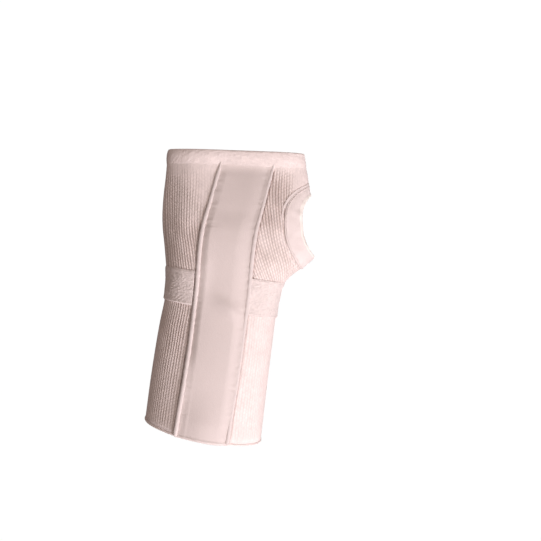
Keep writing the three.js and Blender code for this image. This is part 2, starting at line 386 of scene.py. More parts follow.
def rounded(profile):
    """Places across a closed profile, and its heights in metres, with its corners cut off."""
    corner_cuts = 3
    points = np.array(profile) * (1, MM)
    for _ in range(corner_cuts):
        after = np.roll(points, -1, axis=0)
        points = np.stack([0.75 * points + 0.25 * after, 0.25 * points + 0.75 * after], axis=1)
        points = points.reshape(-1, 2)
    points = np.vstack([points, points[:1]])
    return points[:, :1], points[:, 1:]


def new_object(name, data):
    made = bpy.data.objects.new(name, data)
    bpy.context.scene.collection.objects.link(made)
    return made


def path_length(points):
    return np.linalg.norm(np.diff(points, axis=0), axis=1).sum()


def grid_object(name, points, uv, attributes=None, keep=None, closed=False):
    """Object made of a grid of points, with its lengthwise and crosswise places as its UV map.

    Grid edges that meet are welded.
    """
    weld_reach = 1e-6
    sliver_reach = 1e-7
    rows, columns = points.shape[:2]
    index = np.arange(rows * columns).reshape(rows, columns)
    corners = [index[:-1, :-1], index[:-1, 1:], index[1:, 1:], index[1:, :-1]]
    quads = np.stack(corners, axis=-1)
    quads = quads[keep] if keep is not None else quads.reshape(-1, 4)
    mesh = bpy.data.meshes.new(name)
    mesh.from_pydata(points.reshape(-1, 3).tolist(), [], quads.tolist())
    layer = mesh.uv_layers.new(name="UVMap")
    places = np.stack(np.broadcast_arrays(*uv), axis=-1).reshape(-1, 2)
    layer.data.foreach_set("uv", places[quads.reshape(-1)].ravel())
    for attribute, values in (attributes or {}).items():
        data = mesh.attributes.new(attribute, "FLOAT", "POINT").data
        data.foreach_set("value", np.broadcast_to(values, (rows, columns)).ravel())
    weld = bmesh.new()
    weld.from_mesh(mesh)
    bmesh.ops.remove_doubles(weld, verts=weld.verts, dist=weld_reach)
    bmesh.ops.dissolve_degenerate(weld, edges=weld.edges, dist=sliver_reach)
    loose = [vert for vert in weld.verts if not vert.link_faces]
    bmesh.ops.delete(weld, geom=loose, context="VERTS")
    if closed:
        bmesh.ops.recalc_face_normals(weld, faces=weld.faces)
    weld.to_mesh(mesh)
    weld.free()
    mesh.shade_smooth()
    return new_object(name, mesh)


def bake_modifiers(made):
    """Turns an object's modifiers into its plain mesh."""
    depsgraph = bpy.context.evaluated_depsgraph_get()
    evaluated = made.evaluated_get(depsgraph)
    mesh = bpy.data.meshes.new_from_object(
        evaluated, preserve_all_data_layers=True, depsgraph=depsgraph)
    before = made.data
    made.modifiers.clear()
    made.data = mesh
    bpy.data.meshes.remove(before)
    mesh.name = made.name
    mesh.shade_smooth()
    if not mesh.polygons:
        raise RuntimeError(f"{made.name} came out empty")


def add_nodes(made, tree, **values):
    """Adds a Geometry Nodes modifier and sets the tree's named inputs."""
    modifier = made.modifiers.new(tree.name, "NODES")
    modifier.node_group = tree
    for item in tree.interface.items_tree:
        key = item.name.lower().replace(" ", "_")
        if item.item_type == "SOCKET" and item.in_out == "INPUT" and key in values:
            modifier[item.identifier] = values[key]


def add_thickness(made, thickness):
    """Adds a wall inwards from an outer skin."""
    modifier = made.modifiers.new("Wall", "SOLIDIFY")
    modifier.thickness = thickness
    modifier.offset = -1


def dress(made, material, node=None):
    made.data.materials.clear()
    made.data.materials.append(material)
    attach(made, BODY)
    if node:
        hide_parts(node)


def add(tree, kind, values=(), **settings):
    """Adds a node. Values fill its inputs in order, or by name or place if given as a dict."""
    node = tree.nodes.new(kind)
    for name, setting in settings.items():
        setattr(node, name, setting)
    pairs = values.items() if isinstance(values, dict) else enumerate(values)
    for key, value in pairs:
        if isinstance(value, bpy.types.NodeSocket):
            tree.links.new(value, node.inputs[key])
        elif value is not None:
            node.inputs[key].default_value = value
    return node


def calc(tree, operation, *values):
    return add(tree, "ShaderNodeMath", values, operation=operation).outputs[0]


def wave(tree, place, pitch=1.0):
    """Sine wave along a place, with one wave to a pitch."""
    return calc(tree, "SINE", calc(tree, "MULTIPLY", place, FULL_TURN / pitch))


def from_rib_middle(tree, rib):
    """None along the middle of each rib, and one in the grooves between ribs."""
    return calc(tree, "ABSOLUTE", calc(tree, "MULTIPLY_ADD", calc(tree, "FRACT", rib), 2.0, -1.0))


def geometry_tree(name, inputs):
    """Empty Geometry Nodes tree with a geometry input, named inputs and a geometry output."""
    tree = bpy.data.node_groups.new(name, "GeometryNodeTree")
    tree.interface.new_socket("Geometry", in_out="INPUT", socket_type="NodeSocketGeometry")
    for label, kind in inputs:
        tree.interface.new_socket(label, in_out="INPUT", socket_type=kind)
    tree.interface.new_socket("Geometry", in_out="OUTPUT", socket_type="NodeSocketGeometry")
    return tree, add(tree, "NodeGroupInput").outputs


def finish_tree(tree, geometry, material):
    realized = add(tree, "GeometryNodeRealizeInstances", [geometry]).outputs[0]
    finished = add(tree, "GeometryNodeSetMaterial", {"Geometry": realized, "Material": material})
    add(tree, "NodeGroupOutput", [finished.outputs[0]])


def named_attribute(tree, name, kind="FLOAT"):
    node = add(tree, "GeometryNodeInputNamedAttribute", {"Name": name}, data_type=kind)
    return node.outputs["Attribute"]


def push_along_normal(tree, geometry, distance):
    normal = add(tree, "GeometryNodeInputNormal").outputs[0]
    offset = add(tree, "ShaderNodeVectorMath", {"Vector": normal, "Scale": distance}, operation="SCALE")
    pushed = add(tree, "GeometryNodeSetPosition", {"Geometry": geometry, "Offset": offset.outputs[0]})
    return pushed.outputs[0]


def rib_relief_tree():
    """Sinks a groove between each two ribs, read from the rib number of each point."""
    tree, given = geometry_tree("Rib Relief", [
        ("Rib Depth", "NodeSocketFloat"),
        ("Rib Roundness", "NodeSocketFloat"),
        ("Material", "NodeSocketMaterial"),
    ])
    side = from_rib_middle(tree, named_attribute(tree, "rib"))
    groove = calc(tree, "POWER", side, given["Rib Roundness"])
    depth = calc(tree, "MULTIPLY", given["Rib Depth"], named_attribute(tree, "ease"))
    sink = calc(tree, "MULTIPLY", calc(tree, "MULTIPLY", groove, depth), -1.0)
    ribbed = push_along_normal(tree, given["Geometry"], sink)
    finish_tree(tree, ribbed, given["Material"])
    return tree


def weave_relief_tree():
    """Raises the knots of a broken twill where its threads cross."""
    tree, given = geometry_tree("Weave Relief", [
        ("Weave Depth", "NodeSocketFloat"),
        ("Material", "NodeSocketMaterial"),
    ])
    twill_share = 0.12
    along = named_attribute(tree, "weft")
    across = named_attribute(tree, "warp")
    knots = calc(tree, "MULTIPLY", wave(tree, along), wave(tree, across))
    twill = wave(tree, calc(tree, "ADD", along, across))
    relief = calc(tree, "MULTIPLY_ADD", twill, twill_share, knots)
    depth = calc(tree, "MULTIPLY", given["Weave Depth"], named_attribute(tree, "ease"))
    raised = calc(tree, "MULTIPLY", calc(tree, "MULTIPLY", relief, 0.5), depth)
    woven = push_along_normal(tree, given["Geometry"], raised)
    finish_tree(tree, woven, given["Material"])
    return tree


def stitch_row_tree():
    """Lays stitches of thread end to end along a path that carries its outward direction."""
    tree, given = geometry_tree("Stitch Row", [
        ("Pitch", "NodeSocketFloat"),
        ("Thickness", "NodeSocketFloat"),
        ("Material", "NodeSocketMaterial"),
    ])
    half_length = 0.4
    curve = add(tree, "GeometryNodeMeshToCurve", [given["Geometry"]]).outputs[0]
    sampled = add(tree, "GeometryNodeResampleCurve", {
        "Curve": curve, "Length": given["Pitch"]}, mode="LENGTH")
    reach = calc(tree, "MULTIPLY", given["Pitch"], half_length)
    start = add(tree, "ShaderNodeCombineXYZ", [calc(tree, "MULTIPLY", reach, -1.0), 0.0, 0.0])
    end = add(tree, "ShaderNodeCombineXYZ", [reach, 0.0, 0.0])
    crown = add(tree, "ShaderNodeCombineXYZ", [0.0, 0.0, given["Thickness"]])
    thread = add(tree, "GeometryNodeCurveQuadraticBezier", {
        "Resolution": 5, "Start": start.outputs[0], "Middle": crown.outputs[0], "End": end.outputs[0]})
    radius = calc(tree, "MULTIPLY", given["Thickness"], 0.5)
    circle = add(tree, "GeometryNodeCurvePrimitiveCircle", {"Resolution": 6, "Radius": radius})
    stitch = add(tree, "GeometryNodeCurveToMesh", {
        "Curve": thread.outputs[0], "Profile Curve": circle.outputs[0], "Fill Caps": True})
    tangent = add(tree, "GeometryNodeInputTangent").outputs[0]
    lengthwise = add(tree, "FunctionNodeAlignRotationToVector", {"Vector": tangent}, axis="X")
    outwards = add(tree, "FunctionNodeAlignRotationToVector", {
        "Rotation": lengthwise.outputs[0], "Vector": named_attribute(tree, "out", "FLOAT_VECTOR")},
        axis="Z", pivot_axis="X")
    row = add(tree, "GeometryNodeInstanceOnPoints", {
        "Points": sampled.outputs[0], "Instance": stitch.outputs[0], "Rotation": outwards.outputs[0]})
    finish_tree(tree, row.outputs[0], given["Material"])
    return tree


def cloth_material(name, colour, roughness, sheen):
    """Rough cloth with a faint fibre sheen; returns the material, its tree and its shader."""
    material = bpy.data.materials.new(name)
    material.use_nodes = True
    tree = material.node_tree
    shader = tree.nodes["Principled BSDF"]
    shader.inputs["Base Color"].default_value = (*colour, 1)
    shader.inputs["Roughness"].default_value = roughness
    shader.inputs["Specular IOR Level"].default_value = 0.2
    shader.inputs["Sheen Weight"].default_value = sheen
    shader.inputs["Sheen Roughness"].default_value = 0.5
    shader.inputs["Sheen Tint"].default_value = (1.0, 0.93, 0.9, 1)
    return material, tree, shader


def uv_parts(tree):
    """The piece's own lengthwise and crosswise coordinates."""
    uv = add(tree, "ShaderNodeUVMap", uv_map="UVMap").outputs[0]
    parts = add(tree, "ShaderNodeSeparateXYZ", [uv])
    return parts.outputs[0], parts.outputs[1]


def noise(tree, scale, detail, place=None):
    """Unevenness with so many lumps to a metre of the piece, or to a unit of another place."""
    place = place or add(tree, "ShaderNodeTexCoord").outputs["Object"]
    node = add(tree, "ShaderNodeTexNoise", {
        "Vector": place, "Scale": scale, "Detail": detail, "Roughness": 0.6})
    return node.outputs["Fac"]


def scaled(colour, factor):
    return tuple(min(1.0, channel * factor) for channel in colour)


def blend(tree, factor, low, high):
    """Mix of two colours, each a node's output or three channels."""
    low, high = (end if isinstance(end, bpy.types.NodeSocket) else (*end, 1) for end in (low, high))
    return add(tree, "ShaderNodeMix", {0: factor, 6: low, 7: high}, data_type="RGBA").outputs[2]


def mottled(tree, colour, unevenness, dark, pale):
    """Colour that goes from a darker to a paler form of itself."""
    return blend(tree, unevenness, scaled(colour, dark), scaled(colour, pale))


def ramp(tree, value, start, end, interpolation="SMOOTHSTEP"):
    """None where a value is at its start, and one at its end."""
    node = add(tree, "ShaderNodeMapRange", {0: value, 1: start, 2: end}, interpolation_type=interpolation)
    return node.outputs[0]


def shade(tree, colour, factor, amount):
    """Colour darkened and lightened by an unevenness around one half."""
    level = calc(tree, "MULTIPLY_ADD", factor, 2 * amount, 1 - amount)
    node = add(tree, "ShaderNodeMix", {0: 1.0, 6: colour, 7: level},
               data_type="RGBA", blend_type="MULTIPLY")
    return node.outputs[2]


def finish_cloth(tree, shader, base, height, relief):
    """Links a cloth's colour, and its fine relief as a bump."""
    tree.links.new(base, shader.inputs["Base Color"])
    node = add(tree, "ShaderNodeBump", {"Strength": 1.0, "Distance": relief, "Height": height})
    tree.links.new(node.outputs[0], shader.inputs["Normal"])


def rib_knit_material(colours):
    """Knit whose loops lean towards the middle of each rib, with painted shade between the ribs."""
    loops_to_pitch = 0.85
    loop_lean = 0.35
    deep_from = 1.4
    material, tree, shader = cloth_material("rib_knit", colours.knit, roughness=0.92, sheen=0.25)
    rib, course = uv_parts(tree)
    side = from_rib_middle(tree, rib)
    courses = calc(tree, "MULTIPLY", course, loops_to_pitch)
    staggered = calc(tree, "MULTIPLY_ADD", calc(tree, "FLOOR", rib), 0.5, courses)
    ease = add(tree, "ShaderNodeAttribute", attribute_name="ease").outputs["Fac"]
    loop = wave(tree, calc(tree, "MULTIPLY_ADD", side, loop_lean, staggered))
    loop = calc(tree, "MULTIPLY", loop, calc(tree, "MINIMUM", ease, 1.0))
    fibre = noise(tree, 2600, detail=2.0)
    mottle = noise(tree, 120, detail=4.0)
    along_rib = add(tree, "ShaderNodeCombineXYZ", [rib, calc(tree, "MULTIPLY", course, 0.4), 0.0])
    dashes = noise(tree, 1.3, detail=2.0, place=along_rib.outputs[0])
    # Painted shade: past this ease the crests are darkened as well as the grooves.
    past_deep = calc(tree, "MAXIMUM", calc(tree, "SUBTRACT", ease, deep_from), 0.0)
    painted_deep_rib_shade = calc(tree, "MULTIPLY", past_deep, 0.3)
    # The groove colour mixed in by this depth is painted shade in the grooves between the ribs.
    depth = calc(tree, "MULTIPLY_ADD", calc(tree, "POWER", side, 2.0), ease, painted_deep_rib_shade)
    base = blend(tree, depth, colours.knit, colours.groove)
    base = shade(tree, base, dashes, amount=0.18)
    base = shade(tree, base, calc(tree, "MULTIPLY_ADD", loop, 0.5, 0.5), amount=0.07)
    base = shade(tree, base, mottle, amount=0.12)
    height = calc(tree, "MULTIPLY_ADD", fibre, 0.6, calc(tree, "MULTIPLY", loop, 0.4))
    finish_cloth(tree, shader, base, height, relief=0.12 * MM)
    return material


def hem_knit_material(colours):
    """The same knit folded double and pressed, with its ribs flattened to faint lines."""
    material, tree, shader = cloth_material("hem_knit", colours.hem, roughness=0.92, sheen=0.25)
    along, _ = uv_parts(tree)
    fibre = noise(tree, 1500, detail=3.0)
    base = mottled(tree, colours.hem, noise(tree, 190, detail=4.0), dark=0.84, pale=1.14)
    base = shade(tree, base, fibre, amount=0.06)
    height = calc(tree, "MULTIPLY_ADD", wave(tree, along, pitch=2.15), 0.07, fibre)
    finish_cloth(tree, shader, base, height, relief=0.28 * MM)
    return material


def woven_elastic_material(colours):
    """Twill of covered elastic cords, with a pale lower selvage; the relief is in the mesh."""
    material, tree, shader = cloth_material("woven_elastic", colours.band, roughness=0.88, sheen=0.2)
    along, across = uv_parts(tree)
    fibre = noise(tree, 2400, detail=2.0)
    base = mottled(tree, colours.band, noise(tree, 420, detail=3.0), dark=0.78, pale=1.16)
    near = ramp(tree, across, start=-10.4, end=-11.0)
    shown = ramp(tree, along, start=25, end=70, interpolation="LINEAR")
    base = blend(tree, calc(tree, "MULTIPLY", near, shown), base, scaled(colours.band, 1.1))
    yarn = wave(tree, calc(tree, "ADD", along, across), pitch=0.8)
    height = calc(tree, "MULTIPLY_ADD", yarn, 0.15, fibre)
    finish_cloth(tree, shader, base, height, relief=0.3 * MM)
    return material


def smooth_cloth_material(name, colour, wale, mottling, ends=()):
    """Brushed warp-knit cloth with fine lengthwise lines one wale apart, in millimetres.

    Each of its ends is a start height, a height of full change and another colour.
    """
    material, tree, shader = cloth_material(name, colour, roughness=0.85, sheen=0.3)
    along, across = uv_parts(tree)
    fibre = noise(tree, 1500, detail=3.0)
    base = mottled(tree, colour, noise(tree, 75, detail=3.0), 1 - mottling, 1 + mottling)
    for start, full, end_colour in ends:
        base = blend(tree, ramp(tree, along, start, full), base, end_colour)
    base = shade(tree, base, fibre, amount=0.05)
    height = calc(tree, "MULTIPLY_ADD", wave(tree, across, wale), 0.06, fibre)
    finish_cloth(tree, shader, base, height, relief=0.16 * MM)
    return material


def binding_material(colours):
    """Plain elastic, with a painted highlight along its rolled free rim and painted shade in the crease
    beside its seam.
    """
    rim_shift = 1.6
    seam_place = -0.35
    material, tree, shader = cloth_material("binding_elastic", colours.binding, roughness=0.85, sheen=0.3)
    _, across = uv_parts(tree)
    fibre = noise(tree, 1500, detail=3.0)
    base = mottled(tree, colours.binding, noise(tree, 75, detail=3.0), dark=0.95, pale=1.05)
    drawn_in = add(tree, "ShaderNodeAttribute", attribute_name="drawn_in").outputs["Fac"]
    outermost = calc(tree, "ADD", across, rim_shift)
    towards_rim = calc(tree, "MULTIPLY_ADD", drawn_in, -rim_shift, outermost)
    # Painted highlight along the rolled free rim, beginning further in where the seam lies flat.
    base = blend(tree, ramp(tree, towards_rim, start=9.6, end=10.4), base, colours.rim)
    # Painted shade: the crease beside the seam is darkened where the seam is drawn in.
    from_seam = calc(tree, "ABSOLUTE", calc(tree, "SUBTRACT", across, seam_place))
    by_seam = ramp(tree, from_seam, start=0.7, end=0.25, interpolation="LINEAR")
    painted_crease_shade = calc(tree, "MULTIPLY", by_seam, drawn_in)
    base = blend(tree, painted_crease_shade, base, scaled(colours.binding, 0.5))
    base = shade(tree, base, fibre, amount=0.05)
    finish_cloth(tree, shader, base, fibre, relief=0.2 * MM)
    return material


def thread_material(colours):
    material, tree, shader = cloth_material("sewing_thread", colours.thread, roughness=0.75, sheen=0.3)
    base = mottled(tree, colours.thread, noise(tree, 3000, detail=2.0), dark=0.85, pale=1.0)
    tree.links.new(base, shader.inputs["Base Color"])
    return material


def rib_columns(bases, pitch):
    """Angles of the knit's columns at each height, with the columns' rib numbers.

    Above the wrist band the ribs run beside the little-finger edge, and on the thumb side they
    drift outwards towards the thumb hole; below it they run along the sleeve. Ribs that don't
    fit the girth end on the palm side's middle line, under the pocket.
    """
    steps_per_rib = 5
    thumb_bend = 4.7
    thumb_slope = 0.04
    little_slope = 0.14
    wander = 0.1
    turn = np.linspace(-math.pi / 2, 3 * math.pi / 2, SECTION_SAMPLES)
    points = skin(turn[None, :], bases[:, None])
    steps = np.linalg.norm(np.diff(points, axis=1), axis=2)
    lengths = np.concatenate([np.zeros((len(bases), 1)), np.cumsum(steps, axis=1)], axis=1)
    edge = lengths[:, np.searchsorted(turn, math.pi)][:, None]
    below = np.clip(SLEEVE_TOP - bases, 0, None)[:, None]
    thumb_drift = thumb_bend * below ** 2 - thumb_slope * below
    little_drift = little_slope * below
    thumb_share = 1 - smoothstep(turn, 0, 2)[None, :]
    little_share = smoothstep(turn, math.pi, 1.25 * math.pi)[None, :]
    top_edge = edge[np.argmin(below)]
    drift = thumb_share * (top_edge - edge + thumb_drift) + little_share * little_drift
    on_hand = edge - lengths + drift
    wrist_girth = lengths[np.argmin(np.abs(bases)), -1]
    on_arm = (edge - lengths) / lengths[:, -1:] * wrist_girth
    hand_share = smoothstep(bases, -0.8 * BAND_HALF, 0.8 * BAND_HALF)[:, None]
    across = on_arm + hand_share * (on_hand - on_arm)
    first = math.ceil(across.max() / pitch)
    last = math.floor(across.min() / pitch)
    ribs = np.linspace(first, last, (first - last) * steps_per_rib + 1)
    wanted = ribs[None, :] * pitch
    wanted = wanted + wander * pitch * lumps(wanted, 0.25 * bases[:, None], 8 * MM, seed=3)
    angles = np.stack([np.interp(-row, -place, turn) for row, place in zip(wanted, across)])
    return angles, ribs


def oval_share(oval, angle, z):
    """One on the thumb hole's oval, less inside it."""
    angle = (angle + math.pi) % FULL_TURN - math.pi
    width = np.radians(np.where(angle < 0, oval["palm"], oval["back"]))
    aside = np.abs(angle) / width
    up = np.abs(z - oval["middle"]) / oval["half"]
    return (aside ** THUMB_OVAL_POWER + up ** THUMB_OVAL_POWER) ** (1 / THUMB_OVAL_POWER)


def oval_edge(oval, turn):
    power = 2 / THUMB_OVAL_POWER
    across = np.cos(turn)
    up = np.sin(turn)
    width = np.radians(np.where(across < 0, oval["palm"], oval["back"]))
    angle = np.sign(across) * width * np.abs(across) ** power
    return angle, oval["middle"] + np.sign(up) * oval["half"] * np.abs(up) ** power


def binding_place(turn, across):
    """Angle and height on the thumb binding: across is 0 on the seam and 1 on the free rim."""
    seam_angle, seam_z = oval_edge(THUMB_SEAM, turn)
    rim_angle, rim_z = oval_edge(THUMB_RIM, turn)
    return seam_angle + across * (rim_angle - seam_angle), seam_z + across * (rim_z - seam_z)


def towards_fingers(turn):
    """One along the finger side of the thumb hole, where its seam lies flat, and none elsewhere."""
    return smoothstep(np.sin(turn), -0.1, 0.6)


def ulnar_spread(base):
    """How much wider the pocket is on the little-finger side of its middle line than on the other."""
    return ULNAR_SPREAD + change("pocket widens", base)


def little_seam(base):
    """Sideways place of the pocket's little-finger seam."""
    return pocket_middle(base) - POCKET_HALF * ulnar_spread(base)


def seam_rise(base):
    """How far the little-finger seam stands off the sleeve, most at the pocket's lower corner."""
    return MM * (change("seam lifts", base) + change("corner lifts", base))


def drawn_up(angle, base):
    """How far the knit and its hem are drawn up beside the little-finger seam."""
    rise = seam_rise(base) * bell(sideways_place(angle, base), little_seam(base), SEAM_REACH)
    return np.where(np.sin(angle) < 0, rise, 0)


def pocket_place(base, aside):
    """Angle and height on the palm side, placed sideways from the pocket's middle line."""
    x = pocket_middle(base) + np.where(aside < 0, aside * ulnar_spread(base), aside)
    z = base + slant_at(base) * x
    return palm_angle(x, z), z


def over_pocket(angle, base):
    """One over the pocket's panel, falling to none just past its seams."""
    aside = np.abs(sideways_place(angle, base) - pocket_middle(base))
    share = 1 - smoothstep(aside, 0.75 * POCKET_HALF, 1.35 * POCKET_HALF)
    return np.where(np.sin(angle) < 0, share, 0)


def pocket_sink(angle, base):
    """How far the knit is drawn in under the pocket, with a sharp step just past its seams.

    On the little-finger side the step is wider and deeper below the wrist band, and narrower
    and shallower towards the fingers.
    """
    aside = sideways_place(angle, base) - pocket_middle(base)
    below_band = smoothstep(-base, BAND_HALF, BAND_HALF + 8 * MM)
    below_band = below_band * (1 - change("groove ends on arm", base))
    past_seam = 1.4 - change("groove narrows", base) + 0.8 * below_band
    little_edge = POCKET_HALF * ulnar_spread(base) + past_seam * MM
    little_depth = SEAM_STEP_DEPTH + MM * (0.2 * below_band - change("groove gets shallow", base))
    thumb_edge = POCKET_HALF + 1.0 * MM
    ulnar = 1 - smoothstep(-aside, little_edge, little_edge + 1.0 * MM)
    radial = 1 - smoothstep(aside, thumb_edge, thumb_edge + 1.1 * MM)
    under = np.where(aside < 0, little_depth * ulnar, SEAM_STEP_DEPTH * radial)
    return np.where(np.sin(angle) < 0, under, 0)


def palm_rise(angle):
    """How far the wrist band rides up on the palm side."""
    return BAND_PALM_RISE * np.maximum(0, -np.sin(angle))


def band_puff(angle, base):
    """How far the knit is pushed out where it comes up out of the tight wrist band."""
    from_band = slanted_height(angle, base) - BAND_HALF - palm_rise(angle)
    shown = smoothstep(from_band, -1.5 * MM, -0.2 * MM)
    puff = BAND_PUFF * shown * bell(from_band, 0, 9 * MM)
    return puff * (1 - over_pocket(angle, base))


def rib_ease(x, angle, base):
    """Share of the ribs' full depth at each point.

    The ribs fade towards the hems, on the thumb side of the forearm, on the web above the thumb
    hole and beside the pocket's upper part. They are deeper beside the wrist band on the
    little-finger side, and between the pocket and the thumb hole.
    """
    from_hem = SLEEVE_TOP - base
    from_rim = base - FOREARM_EDGE - RIM_HEIGHT
    ends = smoothstep(from_hem, -SLEEVE_TUCK, 15 * MM) * smoothstep(from_rim, -SLEEVE_TUCK, 7 * MM)
    thumb_side = smoothstep(np.cos(angle), -0.2, 0.4)
    on_arm = smoothstep(-base, -BAND_HALF, BAND_HALF)
    sides = 1.25 + 0.25 * thumb_side - on_arm * (0.1 + 1.05 * thumb_side)
    thumb_web = smoothstep(x, 31 * MM, 38 * MM) * change("thumb web ribs fade", base)
    thumb_palm = smoothstep(x, 15 * MM, 21 * MM) * change("thumb side ribs deepen", base)
    by_band = 0.8 * bell(np.abs(base), 28 * MM, 20 * MM) * smoothstep(-x, 14 * MM, 22 * MM)
    by_seam = bell(x, -19 * MM, 14 * MM) * change("ribs by seam fade", base)
    return ends * sides * (1 - thumb_web) * (1 + by_band) * (1 + thumb_palm) * (1 - by_seam)


def make_sleeve(sizes, material):
    arm_row_step = 3.2 * MM
    hand_row_count = 58
    hole_edge = 0.95
    arm_rows = np.arange(FOREARM_EDGE + RIM_HEIGHT, -BAND_HALF, arm_row_step)
    hand_rows = np.linspace(-BAND_HALF, SLEEVE_TOP + SLEEVE_TUCK, hand_row_count)
    rows = np.concatenate([arm_rows, hand_rows])
    angles, ribs = rib_columns(rows, sizes.rib_pitch)
    bases = rows[:, None]
    heights = slanted_height(angles, bases)
    rise = band_puff(angles, bases) + drawn_up(angles, bases)
    points = off_skin(angles, heights, rise - pocket_sink(angles, bases))
    centre_angle = (angles[:-1, :-1] + angles[1:, 1:]) / 2
    centre_height = (heights[:-1, :-1] + heights[1:, 1:]) / 2
    keep = oval_share(THUMB_SEAM, centre_angle, centre_height) > hole_edge
    rib_numbers = np.broadcast_to(ribs + 0.5, angles.shape)
    uneven = lumps(rib_numbers * sizes.rib_pitch, 0.5 * heights, 9 * MM, sizes.lump_seed)
    # The ease also sets how much painted shade the knit's material puts in the grooves, and on the crests
    # where it is large.
    ease = rib_ease(points[..., 0], angles, bases) * (1 + 0.2 * uneven)
    uv = (rib_numbers, heights / sizes.rib_pitch)
    sleeve = grid_object("ribbed_sleeve", points, uv, {"rib": rib_numbers, "ease": ease}, keep)
    add_nodes(sleeve, rib_relief_tree(), rib_depth=sizes.rib_depth, rib_roundness=sizes.rib_roundness,
              material=material)
    add_thickness(sleeve, sizes.knit_thickness)
    bake_modifiers(sleeve)
    return sleeve


def make_hem(name, profile, bottom, top, pocket_rise, seed):
    """Closed hem round the sleeve's edge, a little lumpy, and raised where it crosses the pocket."""
    columns = 420
    ring_radius = 40 * MM
    broad_lumps = 0.03 * MM
    fine_lumps = 0.05 * MM
    across, off_sleeve = rounded(profile)
    angles, girth = even_angles(bottom, columns)
    ring = angles[None, :]
    bases = bottom + across * (top - bottom)
    heights = slanted_height(ring, bases)
    along = np.linspace(0, girth, columns + 1)[None, :]
    outside = smoothstep(off_sleeve, -1.2 * MM, 0.2 * MM)
    x = ring_radius * np.cos(ring)
    y = ring_radius * np.sin(ring)
    uneven = broad_lumps * lumps(x, y + 0.6 * bases, 8 * MM, seed)
    uneven = uneven + fine_lumps * lumps(x, y + bases, 3 * MM, seed + 1)
    lift = off_sleeve + outside * (uneven + pocket_rise * over_pocket(ring, bases))
    points = off_skin(np.broadcast_to(ring, heights.shape), heights, lift + drawn_up(ring, bases))
    uv = (along / MM, bases / MM)
    return grid_object(name, points, uv, closed=True), girth


def band_place(rows):
    """Angles and heights along rows of the band, from the pocket's thumb-side seam to the other."""
    first = rows[:, :1]
    start = palm_angle(pocket_middle(first) + POCKET_HALF, first)
    end = palm_angle(little_seam(first) - BAND_GAP, first) + FULL_TURN
    angles = start + (end - start) * np.linspace(0, 1, rows.shape[1])[None, :]
    towards_arm = (BAND_HALF - rows) / (2 * BAND_HALF)
    tilt = -BAND_TILT * towards_arm * np.cos(angles)
    return angles, rows + tilt + palm_rise(angles)


def make_band(sizes, material):
    columns = 421
    row_count = 61
    wrist_radius = 38 * MM
    weave_slack = 0.35
    slack_lump = 7 * MM
    rows = np.linspace(-BAND_HALF, BAND_HALF, row_count)[:, None]
    share = np.linspace(0, 1, columns)[None, :]
    angles, heights = band_place(np.repeat(rows, columns, axis=1))
    inset = BAND_HALF - np.abs(rows)
    upper_fall = -0.2 * MM * smoothstep(rows, BAND_HALF - 1.5 * MM, BAND_HALF)
    lower_fall = -0.5 * MM * (1 - smoothstep(inset, 0, 0.8 * MM))
    selvage = 0.12 * MM * bell(rows, 0.9 * MM - BAND_HALF, 0.6 * MM)
    rounding = np.where(rows > 0, upper_fall, lower_fall + selvage)
    pull = 0.15 * MM * lumps(angles * wrist_radius, heights, 12 * MM, sizes.lump_seed)
    points = off_skin(angles, heights, BAND_LIFT + sizes.band_thickness + rounding + pull)
    girth = path_length(points[row_count // 2])
    along = np.broadcast_to(share * girth, angles.shape)
    uv = (along / MM, rows / MM)
    weft_slack = weave_slack * lumps(along, rows, slack_lump, sizes.lump_seed + 3)
    warp_slack = weave_slack * lumps(along, rows, slack_lump, sizes.lump_seed + 6)
    uneven = lumps(along, rows, 5 * MM, sizes.lump_seed + 4)
    weave = {
        "weft": along / sizes.weave_pitch + weft_slack,
        "warp": rows / sizes.weave_pitch + warp_slack,
        "ease": smoothstep(inset, 0.6 * MM, 2 * MM) * (1 + 0.4 * uneven),
    }
    band = grid_object("wrist_band_elastic", points, uv, weave)
    add_nodes(band, weave_relief_tree(), weave_depth=sizes.weave_depth, material=material)
    add_thickness(band, sizes.band_thickness)
    bake_modifiers(band)
    return band, girth


def make_binding(sizes):
    """Closed binding round the thumb hole, drawn in at its seam except on the finger side."""
    columns = 340
    strip_width = 12
    section_radius = 50 * MM
    flat_lift = 0.3 * MM
    across, off_sleeve = rounded(BINDING_PROFILE)
    turn = -np.linspace(0, FULL_TURN, columns + 1)[None, :]
    angles, heights = binding_place(turn, across)
    outside = smoothstep(off_sleeve, -1.0 * MM, 0.2 * MM)
    uneven = lumps(angles * section_radius, heights, 7 * MM, sizes.lump_seed + 5)
    lift = off_sleeve + outside * 0.14 * MM * uneven
    by_seam = (1 - smoothstep(across, 0.1, 0.35)) * smoothstep(off_sleeve, -1.9 * MM, -1.5 * MM)
    flat = towards_fingers(turn)
    lift = lift + 0.96 * by_seam * flat * (flat_lift - lift)
    # The material reads this to paint shade in the seam's crease and to set where the rim's painted
    # highlight begins.
    drawn_in = np.broadcast_to(1 - 0.9 * flat, angles.shape)
    points = off_skin(angles, heights, lift)
    girth = path_length(points[0])
    along = np.broadcast_to(np.linspace(0, girth, columns + 1)[None, :], angles.shape)
    uv = (along / MM, across * strip_width)
    return grid_object("thumb_binding_elastic", points, uv, {"drawn_in": drawn_in}, closed=True), girth


